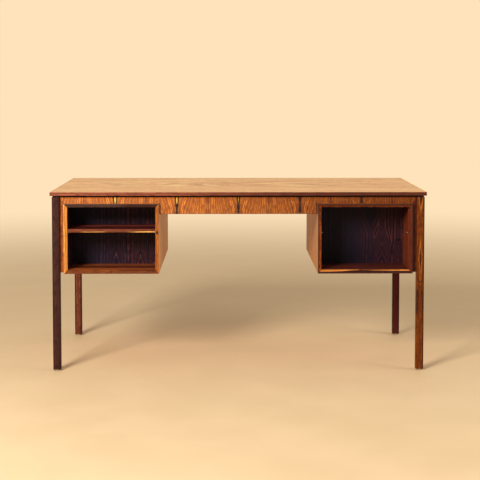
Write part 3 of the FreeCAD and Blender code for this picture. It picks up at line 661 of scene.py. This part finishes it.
class DESK_OT_legs(bpy.types.Operator):
    """Finishes the four legs, each cut from its own board"""

    bl_idname = "desk.legs"
    bl_label = "Legs"

    def execute(self, context):
        look = context.scene.writing_desk.leg
        dress("front_right_leg", self.hearted("front_right_leg", look))
        # Pith, rings, warp, seed, contrast and sway of the other three
        boards = {
            "front_left": ((-0.9, -0.3), 190.0, 0.02, 1.7, 1.3, 0.03),
            "rear_left": ((-0.72, 0.345), 260.0, 0.01, 3.9, 1.2, 0.04),
            "rear_right": ((0.9, 0.4), 160.0, 0.02, 8.3, 1.0, 0.03),
        }
        for name, (pith, rings, warp, seed, contrast, sway) in boards.items():
            wood = plain_wood(
                name + "_leg_rosewood", "xyz", getattr(look, name), pith, rings, warp, seed, contrast,
                self.flanks(name + "_leg", look), shine=0.1, sway=sway,
            )
            dress(name + "_leg", wood)
        return {"FINISHED"}

    def flanks(self, name, look):
        """Painted shade along a leg's left and right faces and the front's edges beside them, and painted
        shade at its upper end in the shadow gap.
        """
        low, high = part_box(name)
        return [
            ("x", low.x + 0.006, low.x + 0.0035, look.flank_and_side_shade, 1.0),
            ("x", high.x - 0.0055, high.x - 0.003, look.flank_and_side_shade, 1.0),
            ("z", high.z - 0.0014, high.z - 0.0008, look.cap_shade, 0.5),
        ]

    def hearted(self, name, look):
        """A leg whose dark heart narrows below its top and comes back as a spindle, over two arcs."""
        made, tree, shader = new_material(name + "_rosewood")
        parts, place = turned_place(tree, "xyz")
        low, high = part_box(name)
        down = calc(tree, "SUBTRACT", high.z, parts["z"])
        bend = calc(tree, "SUBTRACT", row_noise(tree, times(tree, down, 12.0), 1.0), 0.5)
        middle = (low.x + high.x) / 2
        off = calc(tree, "SUBTRACT", parts["x"], middle)
        off = calc(tree, "ABSOLUTE", calc(tree, "MULTIPLY_ADD", bend, 0.006, off))
        # Half the heart's width: a wedge, a spindle a quarter of a metre down, and a swelling line
        wedge = calc(tree, "MULTIPLY_ADD", down, -0.13, 0.006)
        spindle = calc(tree, "MULTIPLY_ADD", away(tree, down, 0.25), -0.065, 0.0032)
        swell = row_noise(tree, calc(tree, "MULTIPLY_ADD", down, 9.0, 7.35), 1.0)
        width = calc(tree, "MAXIMUM", wedge, spindle)
        width = calc(tree, "MAXIMUM", width, ramp(tree, swell, 0.35, 0.65, -0.009, -0.003))
        within = calc(tree, "SUBTRACT", width, off)
        lean = times(tree, width, -1.2)
        figure = figured(tree, place, (middle, low.y - 0.002), 260.0, 0.03, 5.2, lean, sway=0.01)
        face = wood_colour(tree, figure, look.front_right, 1.6)
        share = calc(
            tree, "MAXIMUM", ramp(tree, down, 0.37, 0.3, 0.2, 0.42), ramp(tree, down, 0.12, 0.04, 0.0, 0.7)
        )
        band = times(tree, ramp(tree, within, -0.0085, -0.002), share)
        face = mix(tree, band, face, wood_colour(tree, figure, look.band, 1.3))
        heart = ramp(tree, within, -0.0008, 0.001, 0.0, 0.9)
        face = mix(tree, heart, face, wood_colour(tree, figure, look.heart))
        # Lower down both sides are dark round a light core that widens, under two thin dark arcs
        core = calc(tree, "SUBTRACT", calc(tree, "MULTIPLY_ADD", down, 0.05, -0.0155), off)
        sides = times(tree, ramp(tree, core, 0.0012, -0.0014), between(tree, down, 0.375, 0.475, 0.012))
        face = mix(tree, times(tree, sides, 0.8), face, wood_colour(tree, figure, look.flank_and_side_shade))
        sag = times(tree, off, off, 70.0)
        inside = ramp(tree, off, 0.013, 0.011)
        for drop, share in ((0.341, 1.0), (0.361, 0.65)):
            arc = calc(tree, "ABSOLUTE", calc(tree, "ADD", calc(tree, "SUBTRACT", down, drop), sag))
            arc = times(tree, ramp(tree, arc, 0.0036, 0.0014, 0.0, share), inside)
            face = mix(tree, arc, face, look.heart)
        # Painted shade along its right face and at its upper end
        face = patched(tree, parts, figure, face, self.flanks(name, look)[1:])
        finish(tree, shader, figure, face, shine=0.1)
        return made


def box_wood(name, look, order, inside, outside, edge, out, seed):
    """A box board: one colour inside, one outside and one on the bevelled edges.
    out is (letter, limit, sign): where sign times the letter passes the limit, the outside shows."""
    made, tree, shader = new_material(name + "_rosewood")
    parts, place = turned_place(tree, order)
    low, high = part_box(name)
    depth = calc(tree, "ABSOLUTE", parts["y"])
    behind = calc(tree, "SUBTRACT", parts["y"], low.y)
    rings = 75.0 if "bottom" in name else 170.0
    figure = figured(tree, place, (0.12, -0.2), rings, 0.03, seed, tilt=0.03, sway=0.02)
    # Outside, broad lighter and darker stripes follow one another from front to rear
    shell = striped(tree, wood_colour(tree, figure, outside, 0.6), parts["y"], 6.0, seed, outside, 0.5)
    if "inner_side" in name:
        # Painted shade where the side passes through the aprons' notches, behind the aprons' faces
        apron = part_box("rear_apron")[0]
        hidden = ramp(tree, parts["z"], apron.z, apron.z + 0.0015)
        hidden = times(tree, hidden, ramp(tree, depth, apron.y - 0.024, apron.y - 0.004, 0.0, 0.9))
        shell = mix(tree, hidden, shell, look.rim)
    lining = wood_colour(tree, figure, inside, 1.3)
    if name == "left_box_bottom":
        # Bright streaks near the front and further in, with a dark one between them
        streaks = [(0.018, 0.066, LIGHT, 0.5), (0.074, 0.128, LINE, 0.7), (0.138, 0.188, LIGHT, 0.25)]
        wave = calc(tree, "SUBTRACT", row_noise(tree, times(tree, parts["x"], 9.0), 1.0), 0.5)
        where = calc(tree, "MULTIPLY_ADD", wave, 0.02, behind)
        lining = streaked(tree, lining, where, inside, streaks)
    else:
        lining = striped(tree, lining, parts["y"], 19.0, seed, inside, 0.7)
    if name == "right_box_outer_side":
        # Painted shadow of the box's top in the compartment's upper rear corner
        corner = ramp(tree, parts["z"], low.z + 0.178, low.z + 0.253)
        corner = times(tree, corner, ramp(tree, behind, 0.018, 0.118, 0.0, 0.9))
        lining = mix(tree, corner, lining, toned(inside, LINE))
    letter, limit, sign = out
    outer = ramp(tree, times(tree, parts[letter], sign), limit, limit + 0.0002)
    face = mix(tree, outer, lining, shell)
    rim = wood_colour(tree, figure, edge, 0.7 if name == "left_box_outer_side" else 1.4)
    if name == "left_box_top":
        # Its edge is painted darker in the right half, as painted shade from the gap under the apron
        rim = mix(tree, ramp(tree, parts["x"], -0.47, -0.44, 0.0, 0.6), rim, look.rim)
    if name.startswith("right_box") or name == "left_box_top":
        # The flat front before the bevel is darker too: the right box's own dark rims, and painted shade from
        # the gap under the apron on the left box's top
        dark = 0.85 if name.startswith("right") else 0.35
        rim = mix(tree, ramp(tree, depth, high.y - 0.0026, high.y - 0.0012, 0.0, dark), rim, look.rim)
    # The bevels reach 10 mm into the box, at its front and at its rear
    face = mix(tree, ramp(tree, depth, high.y - 0.0101, high.y - 0.0099), face, rim)
    if name == "left_box_bottom":
        # A thin dark line along the upper edge of the front bevel, apart from its left part
        line = ramp(tree, parts["z"], low.z + 0.0105, low.z + 0.0118)
        line = times(tree, line, ramp(tree, behind, 0.02, 0.015))
        line = times(tree, line, ramp(tree, parts["x"], -0.5, -0.46, 0.0, 0.8))
        face = mix(tree, line, face, toned(inside, LINE))
    if name == "right_box_bottom":
        # Sapwood along the upper edge of the front bevel
        streak = sapwood_streak(tree, parts, behind, low, high)
        face = mix(tree, streak, face, wood_colour(tree, figure, look.streak, 0.6))
    if name == "left_box_inner_side":
        # A dark knot in the front edge, beside the shelf's end
        knot = (high.x - 0.007, low.y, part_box("shelf")[0].z)
        face = knotted(tree, face, parts, knot, (0.007, 0.07, 0.01), look.knot)
    finish(tree, shader, figure, face)
    return made


def sapwood_streak(tree, parts, behind, low, high):
    """Where a streak runs along the top of the front bevel: it narrows to the right and is broken once."""
    along = calc(tree, "DIVIDE", calc(tree, "SUBTRACT", parts["x"], low.x), high.x - low.x)
    start = ramp(tree, along, 0.1, 0.45, 0.0072, 0.0125)
    start = calc(tree, "SUBTRACT", start, ramp(tree, along, 0.48, 0.6, 0.0, 0.0025))
    above = calc(tree, "SUBTRACT", calc(tree, "SUBTRACT", parts["z"], low.z), start)
    ends = calc(tree, "ADD", ramp(tree, along, 0.45, 0.41), ramp(tree, along, 0.46, 0.9, 0.25, 0.95))
    ends = calc(tree, "MINIMUM", ends, 1.0)
    return times(tree, ramp(tree, above, -0.0007, 0.0007), ramp(tree, behind, 0.024, 0.016), ends)


def divider_wood(side, look):
    """Dark upright veneer whose redder arches show more towards the right, partly as painted light; the right
    one also takes painted shade.
    """
    number = SIDES.index(side)
    made, tree, shader = new_material(side + "_divider_rosewood")
    parts, _ = turned_place(tree, "xyz")
    low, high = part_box(side + "_box_divider")
    wide = high.x - low.x
    field = arched(tree, parts, low, ARCHES[side])
    place = node(tree, "CombineXYZ", {0: field, 1: parts["y"], 2: parts["z"]}).outputs[0]
    figure = figured(tree, place, (-0.3, low.y), 125.0, 0.07, 2.6 + number)
    face = wood_colour(tree, figure, look.divider, 0.8)
    red = wood_colour(tree, figure, look.divider_light, 1.5)
    share = calc(tree, "MULTIPLY_ADD", figure.outputs["Tone"], 0.5, figure.outputs["Bands"])
    start, most = ((0.15, 1.0), (0.35, 0.62))[number]
    # The red shows more to the right partly as painted light, where the light falls into the compartment
    rightwards = ramp(tree, parts["x"], low.x + start * wide, high.x - 0.1 * wide, 0.1, most)
    share = times(tree, ramp(tree, share, 0.1, 1.3), rightwards)
    if number:
        # Painted shade darkens the wood between its arches away from the left side, and the V is dark inside
        deep = ramp(tree, parts["x"], low.x + 0.05 * wide, low.x + 0.3 * wide, 0.0, 0.85)
        face = mix(tree, deep, face, toned(look.divider, DARK))
        hollow = ramp(tree, parts["z"], low.z + 0.143, low.z + 0.158)
        hollow = times(tree, ramp(tree, field, -0.004, -0.01), hollow)
        share = times(tree, share, calc(tree, "MULTIPLY_ADD", hollow, -0.85, 1.0))
    face = mix(tree, share, face, red)
    if number:
        # Painted shadow darkens it further towards the lower left, with a knot at the right
        line = toned(look.divider, LINE)
        lower_left_shadow = ramp(tree, parts["z"], low.z + 0.098, low.z + 0.038)
        lower_left_shadow = times(tree, lower_left_shadow, ramp(tree, parts["x"], low.x + 0.252, low.x + 0.112, 0.0, 0.6))
        face = mix(tree, lower_left_shadow, face, line)
        knot = (low.x + 0.336, low.y, low.z + 0.102)
        face = knotted(tree, face, parts, knot, (0.008, 0.1, 0.008), line)
    finish(tree, shader, figure, face, shine=0.1)
    return made


class DESK_OT_boxes(bpy.types.Operator):
    """Finishes the boards of both boxes, their dividers and the shelf"""

    bl_idname = "desk.boxes"
    bl_label = "Boxes and shelf"

    def execute(self, context):
        look = context.scene.writing_desk.box
        seeds = {"top": 3.0, "bottom": 6.0, "outer_side": 10.0, "inner_side": 10.0}
        # The outer face's colour reaches this far into a board
        thin = 0.0003
        for number, side in enumerate(SIDES):
            for board, seed in seeds.items():
                name = "%s_box_%s" % (side, board)
                low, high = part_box(name)
                out = {
                    "top": ("z", high.z - thin, 1.0),
                    "bottom": ("z", -(low.z + thin), -1.0),
                    "outer_side": ("x", max(high.x, -low.x) - thin, 1.0 if number else -1.0),
                    "inner_side": ("x", -min(abs(low.x), abs(high.x)) - thin, -1.0 if number else 1.0),
                }[board]
                # Each edge colour carries painted light or shade for the way its bevel faces
                edge = getattr(look, "%s_%s" % (side, board.replace("_side", "")))
                # The compartments' colours carry painted shade, most on the left box's outer wall
                own = {"bottom": side + "_floor", "outer_side": side + "_wall"}
                inside = getattr(look, own.get(board, "inside"))
                # Painted sheen makes the outside colours pale
                outside = getattr(look, "outside_" + side)
                order = "yxz" if board.endswith("side") else "yzx"
                wood = box_wood(name, look, order, inside, outside, edge, out, seed + 1.9 * number)
                dress(name, wood)
            dress(side + "_box_divider", divider_wood(side, look))
        dress("shelf", self.shelf_wood(look))
        return {"FINISHED"}

    def shelf_wood(self, look):
        """Dark streaked shelf, whose front edge glows above at the left and is sapwood below at the right."""
        made, tree, shader = new_material("shelf_rosewood")
        parts, place = turned_place(tree, "yzx")
        figure = figured(tree, place, (0.0, 0.45), 80.0, 0.09, 4.7, tilt=0.1)
        low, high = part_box("shelf")
        along = calc(tree, "DIVIDE", calc(tree, "SUBTRACT", parts["x"], low.x), high.x - low.x)
        up = calc(tree, "DIVIDE", calc(tree, "SUBTRACT", parts["z"], low.z), high.z - low.z)
        drift = calc(tree, "SUBTRACT", row_noise(tree, times(tree, along, 6.0), 1.0), 0.5)
        # Streaks along the shelf, by how far they lie behind its front edge
        behind = calc(tree, "SUBTRACT", parts["y"], low.y)
        streaks = [(0.023, 0.103, LINE, 0.9), (0.113, 0.138, LIGHT, 0.5), (0.153, 0.188, LINE, 0.5)]
        face = wood_colour(tree, figure, look.shelf, 1.4)
        face = streaked(tree, face, calc(tree, "MULTIPLY_ADD", drift, 0.03, behind), look.shelf, streaks)
        # The front edge, from its upper part down to the sapwood
        level = calc(tree, "MULTIPLY_ADD", drift, 0.35, up)
        edge = wood_colour(tree, figure, look.shelf_front, 1.1)
        glow = times(tree, ramp(tree, level, 0.6, 0.72), ramp(tree, along, 0.42, 0.12))
        edge = mix(tree, glow, edge, wood_colour(tree, figure, look.shelf_glow, 0.8))
        shade = times(tree, between(tree, level, 0.28, 0.5, 0.06), ramp(tree, along, 0.7, 0.4, 0.2, 0.7))
        edge = mix(tree, shade, edge, toned(look.shelf_front, DARK))
        ends = times(tree, between(tree, along, 0.17, 0.42, 0.05), 0.4)
        ends = calc(tree, "MAXIMUM", ends, ramp(tree, along, 0.66, 0.82))
        pale = times(tree, ends, ramp(tree, level, 0.34, 0.24))
        edge = mix(tree, pale, edge, wood_colour(tree, figure, look.shelf_edge, 0.5))
        face = mix(tree, ramp(tree, parts["y"], low.y + 0.0016, low.y + 0.0008), face, edge)
        finish(tree, shader, figure, face)
        return made


def pale_wood(name, order, colour, seed):
    """Waxed pale hardwood with a quiet straight grain."""
    return plain_wood(name, order, colour, (0.5, 0.1), 90.0, 0.03, seed, 0.28)


class DESK_OT_drawers(bpy.types.Operator):
    """Finishes the six drawers and their runners"""

    bl_idname = "desk.drawers"
    bl_label = "Drawers"

    def execute(self, context):
        look = context.scene.writing_desk.drawer
        sides = pale_wood("drawer_side_wood", "zxy", look.body, 2.2)
        boards = {
            "left_side": sides,
            "right_side": sides,
            "back": pale_wood("drawer_back_wood", "zyx", look.body, 5.8),
            "bottom": pale_wood("drawer_bottom_wood", "yzx", look.bottom, 7.1),
        }
        # The three fronts of a box are cut from one leaf, whose pith lies beside the box's middle
        for side, seed, shift in zip(SIDES, (3.3, 9.6), (0.06, -0.06)):
            pith = (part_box(side + "_box_top")[0].x + 0.19 + shift, 0.32)
            name = side + "_drawer_front_rosewood"
            boards["front"] = plain_wood(name, "xyz", look.front, pith, 62.0, 0.08, seed)
            for row in ROWS:
                for board, wood in boards.items():
                    dress("%s_%s_drawer_%s" % (side, row, board), wood)
        dress("drawer_runners", pale_wood("runner_wood", "zxy", look.runner, 1.1))
        return {"FINISHED"}


def metal(name, colour, rough, seed, rear_shade=()):
    """Worn metal: fine scuffs vary its polish and its colour, and painted shade darkens it from one Y to the
    next.
    """
    made, tree, shader = new_material(name)
    place = node(tree, "TexCoord").outputs["Object"]
    scuff = noise(tree, place, 900.0, 3.0, 0.6, seed)
    tone = mix(tree, ramp(tree, scuff, 0.35, 0.7), colour, [part * 0.7 for part in colour])
    if rear_shade:
        # Painted shade: darker from one Y to the next
        back = ramp(tree, node(tree, "SeparateXYZ", {0: place}).outputs[1], *rear_shade)
        tone = mix(tree, back, tone, [part * 0.12 for part in colour])
    dull = ramp(tree, scuff, 0.3, 0.7, rough, rough + 0.2)
    bump = node(tree, "Bump", {"Height": scuff, "Strength": 0.1, "Distance": 0.0002})
    feed(tree, shader, {"Base Color": tone, "Roughness": dull, "Metallic": 1.0, "Normal": bump.outputs[0]})
    return made


def turned_mesh(shape, profile, steps):
    """Spins a profile of (out, along) points about Z and closes it."""
    verts = [shape.verts.new((out, 0.0, along)) for out, along in profile]
    edges = [shape.edges.new(pair) for pair in zip(verts, verts[1:])]
    bmesh.ops.spin(
        shape, geom=verts + edges, cent=(0, 0, 0), axis=(0, 0, 1), angle=math.tau, steps=steps, use_merge=True
    )
    bmesh.ops.remove_doubles(shape, verts=shape.verts, dist=0.000001)
    bmesh.ops.recalc_face_normals(shape, faces=shape.faces)


def new_piece(name, shape, material, body="root"):
    """Makes a smooth object of a bmesh and lets it ride on a body."""
    data = bpy.data.meshes.new(name)
    shape.to_mesh(data)
    shape.free()
    data.shade_smooth()
    piece = bpy.data.objects.new(name, data)
    bpy.context.scene.collection.objects.link(piece)
    data.materials.append(material)
    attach(piece, body)
    return piece


def placed_copies(master, spots):
    """One mesh of many equal pieces; each spot is a point and the way that the piece's own Z points."""
    whole = bmesh.new()
    for point, way in spots:
        turn = Vector((0, 0, 1)).rotation_difference(Vector(way)).to_matrix().to_4x4()
        data = bpy.data.meshes.new("copy")
        master.to_mesh(data)
        data.transform(Matrix.Translation(point) @ turn)
        whole.from_mesh(data)
        bpy.data.meshes.remove(data)
    master.free()
    return whole


class DESK_OT_fittings(bpy.types.Operator):
    """Makes the glides, shelf pins and slotted screws, and softens the boards' edges"""

    bl_idname = "desk.fittings"
    bl_label = "Fittings and soft edges"

    def execute(self, context):
        look = context.scene.writing_desk.fitting
        self.glides(look)
        self.pins(look)
        self.screws(look)
        metals = ("leg_glides", "shelf_pins", "box_screws")
        soften(context, *(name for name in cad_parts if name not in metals))
        return {"FINISHED"}

    def glides(self, look):
        """The round feet of the four glides; their nails stay hidden in the legs."""
        low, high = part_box("leg_glides")
        half, tall = 0.01, 0.005
        master = bmesh.new()
        turned_mesh(
            master,
            [
                (0.0, 0.0),
                (0.6 * half, 0.0),
                (0.8 * half, 0.04 * tall),
                (0.92 * half, 0.22 * tall),
                (0.98 * half, 0.5 * tall),
                (half, 0.8 * tall),
                (half, tall),
                (0.0, tall),
            ],
            32,
        )
        across = (low.x + half, high.x - half)
        along = (low.y + half, high.y - half)
        spots = [((x, y, low.z), (0, 0, 1)) for x in across for y in along]
        nickel = metal("glide_nickel", look.nickel, 0.25, 1.0)
        piece = new_piece("glides", placed_copies(master, spots), nickel)
        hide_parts("leg_glides")

    def pins(self, look):
        """The eight shelf pins, half of each in a board, with a rounded outer end."""
        low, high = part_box("shelf_pins")
        deep = 0.008
        tip = 2 * deep
        radius = (high.z - low.z) / 2
        master = bmesh.new()
        turned_mesh(
            master,
            [
                (0.0, 0.0),
                (radius, 0.0),
                (radius, tip - 0.0008),
                (0.68 * radius, tip - 0.0002),
                (0.0, tip),
            ],
            24,
        )
        spots = []
        for side, way in zip(SIDES, (1, -1)):
            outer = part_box(side + "_box_outer_side")
            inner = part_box(side + "_box_inner_side")
            near = outer[1].x if way > 0 else outer[0].x
            far = inner[0].x if way > 0 else inner[1].x
            for y in (low.y + radius, high.y - radius):
                spots.append(((near - way * deep, y, low.z + radius), (way, 0, 0)))
                spots.append(((far + way * deep, y, low.z + radius), (-way, 0, 0)))
        # The rear pins are painted darker, as painted shade at the back of the compartments
        steel = metal("pin_steel", look.pin, 0.35, 2.0, (low.y + 0.02, high.y - 0.02))
        piece = new_piece("pins", placed_copies(master, spots), steel)
        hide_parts("shelf_pins")

    def screws(self, look):
        """Countersunk slotted screws: a head with its cone over a plain shaft, half as wide."""
        low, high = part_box("box_screws")
        half, slot, sunk = 0.004, 0.0011, 0.001
        cone, shaft = 0.0024, 0.0256
        master = bmesh.new()
        bmesh.ops.create_circle(master, cap_ends=True, segments=32, radius=half)
        # The slot is a strip across the head, sunk into it
        for side in (-1, 1):
            geom = master.verts[:] + master.edges[:] + master.faces[:]
            bmesh.ops.bisect_plane(
                master, geom=geom, plane_co=(0, side * slot / 2, 0), plane_no=(0, 1, 0), dist=0.000001
            )
        strip = [face for face in master.faces if abs(face.calc_center_median().y) < slot / 4]
        grown = bmesh.ops.extrude_face_region(master, geom=strip)["geom"]
        bmesh.ops.delete(master, geom=strip, context="FACES")
        moved = [part for part in grown if isinstance(part, bmesh.types.BMVert)]
        bmesh.ops.translate(master, verts=moved, vec=(0, 0, sunk))
        # The cone narrows to half the head's width, and the shaft runs on from it
        for reach, share in ((cone, 0.5), (shaft, 1.0)):
            rim = [edge for edge in master.edges if edge.is_boundary]
            walls = bmesh.ops.extrude_edge_only(master, edges=rim)["geom"]
            ring = [part for part in walls if isinstance(part, bmesh.types.BMVert)]
            bmesh.ops.translate(master, verts=ring, vec=(0, 0, reach))
            bmesh.ops.scale(master, verts=ring, vec=(share, share, 1.0))
        bmesh.ops.holes_fill(master, edges=[edge for edge in master.edges if edge.is_boundary])
        bmesh.ops.remove_doubles(master, verts=master.verts, dist=0.000001)
        bmesh.ops.recalc_face_normals(master, faces=master.faces)
        spots = []
        for side, way in zip(SIDES, (-1, 1)):
            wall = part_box(side + "_box_outer_side")
            x = wall[1].x if way < 0 else wall[0].x
            for z in (low.z + half, high.z - half):
                spots.append(((x, low.y + half, z), (way, 0, 0)))
        steel = metal("screw_steel", look.steel, 0.4, 3.0)
        piece = new_piece("screws", placed_copies(master, spots), steel)
        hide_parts("box_screws")
        for poly in piece.data.polygons:
            poly.use_smooth = False


def stage_lamp(name, size, power, at):
    """A square lamp with a warm light, turned to the middle of the desk."""
    data = bpy.data.lights.new(name, "AREA")
    data.size = size
    data.energy = power
    data.color = (1.0, 0.96, 0.9)
    middle = Vector((0.0, 0.0, 0.4))
    lamp = bpy.data.objects.new(name, data)
    lamp.location = at
    lamp.rotation_euler = (middle - Vector(at)).to_track_quat("-Z", "Y").to_euler()
    bpy.context.scene.collection.objects.link(lamp)


class DESK_OT_studio(bpy.types.Operator):
    """Sets the floor, the background, the lamps and the camera"""

    bl_idname = "desk.studio"
    bl_label = "Studio"

    def execute(self, context):
        scene = context.scene
        look = scene.writing_desk.studio
        scene.view_settings.view_transform = "Standard"
        self.world(scene, look)
        self.floor(look)
        stage_lamp("key_lamp", 1.4, look.key, (-2.4, -4.5, 2.7))
        stage_lamp("fill_lamp", 2.0, look.fill, (3.6, -1.2, 1.6))
        self.camera(scene, look)
        return {"FINISHED"}

    def camera(self, scene, look):
        """The photograph's view: from the front, a little down, with the frame shifted to the whole desk."""
        down, aside = 3.7, 0.516
        data = bpy.data.cameras.new("camera")
        data.lens = look.lens
        data.sensor_width = 36.0
        data.shift_y = -0.1564
        camera = bpy.data.objects.new("camera", data)
        camera.location = (-0.0378, -5.2452, 1.1431)
        camera.rotation_euler = (math.radians(90 - down), 0.0, math.radians(-aside))
        scene.collection.objects.link(camera)
        scene.camera = camera

    def world(self, scene, look):
        """Weak warm light from all round, behind which the camera sees the plain background."""
        world = bpy.data.worlds.new("studio")
        scene.world = world
        world.use_nodes = True
        tree = world.node_tree
        tree.nodes.clear()
        light = node(tree, "Background", {"Color": (1.0, 0.95, 0.88, 1.0), "Strength": look.sky})
        shown = node(tree, "Background", {"Color": solid(look.backdrop), "Strength": 1.0})
        blend = node(tree, "MixShader", {0: seen_ray(tree), 1: light.outputs[0], 2: shown.outputs[0]})
        node(tree, "OutputWorld", {"Surface": blend.outputs[0]})

    def floor(self, look):
        """A floor just under the glides, which fades into the background away from the desk."""
        drop = 0.0002
        shape = bmesh.new()
        bmesh.ops.create_circle(shape, cap_ends=True, segments=96, radius=40.0)
        data = bpy.data.meshes.new("floor")
        shape.to_mesh(data)
        shape.free()
        data.transform(Matrix.Translation((0, 0, -drop)))
        floor = bpy.data.objects.new("floor", data)
        bpy.context.scene.collection.objects.link(floor)
        made, tree, shader = new_material("floor_paint")
        place = node(tree, "TexCoord").outputs["Object"]
        mottle = noise(tree, place, 3.0, 3.0)
        tone = mix(tree, ramp(tree, mottle, 0.3, 0.7, 0.1, 0.25), look.floor, look.backdrop)
        dull = ramp(tree, mottle, 0.3, 0.7, 0.55, 0.65)
        feed(tree, shader, {"Base Color": tone, "Roughness": dull, "Specular IOR Level": 0.2})
        far = node(tree, "Emission", {"Color": solid(look.backdrop), "Strength": 1.0})
        share = times(tree, ramp(tree, vector(tree, "LENGTH", place), 1.6, 6.5), seen_ray(tree))
        blend = node(tree, "MixShader", {0: share, 1: shader.outputs[0], 2: far.outputs[0]})
        feed(tree, tree.nodes["Material Output"], {"Surface": blend.outputs[0]})
        data.materials.append(made)


def seen_ray(tree):
    """1 for a ray from the camera, off a gloss or through glass, 0 for a ray that lights a surface."""
    path = node(tree, "LightPath").outputs
    seen = calc(tree, "MAXIMUM", path["Is Camera Ray"], path["Is Glossy Ray"])
    return calc(tree, "MAXIMUM", seen, path["Is Transmission Ray"])


STEPS = (
    DESK_OT_studio,
    DESK_OT_top,
    DESK_OT_aprons,
    DESK_OT_panels,
    DESK_OT_legs,
    DESK_OT_boxes,
    DESK_OT_drawers,
    DESK_OT_fittings,
)


class DESK_PT_panel(bpy.types.Panel):
    """Lists the steps that finish the desk, and what can be set"""

    bl_idname = "DESK_PT_panel"
    bl_label = "Writing desk"
    bl_space_type = "VIEW_3D"
    bl_region_type = "UI"
    bl_category = "Desk"

    def draw(self, context):
        look = context.scene.writing_desk
        for step in STEPS:
            self.layout.operator(step.bl_idname)
        for part in ("top", "apron", "leg", "box", "drawer", "fitting", "studio"):
            group = getattr(look, part)
            box = self.layout.box()
            for name in group.__annotations__:
                box.prop(group, name)


LOOKS = (TopLook, ApronLook, LegLook, BoxLook, DrawerLook, FittingLook, StudioLook, DeskLook)


def register():
    for kind in (*LOOKS, *STEPS, DESK_PT_panel):
        bpy.utils.register_class(kind)
    bpy.types.Scene.writing_desk = bpy.props.PointerProperty(type=DeskLook)


def unregister():
    del bpy.types.Scene.writing_desk
    for kind in reversed((*LOOKS, *STEPS, DESK_PT_panel)):
        bpy.utils.unregister_class(kind)


def main():
    register()
    for step in STEPS:
        group, name = step.bl_idname.split(".")
        getattr(getattr(bpy.ops, group), name)()


if __name__ == "__main__":
    main()
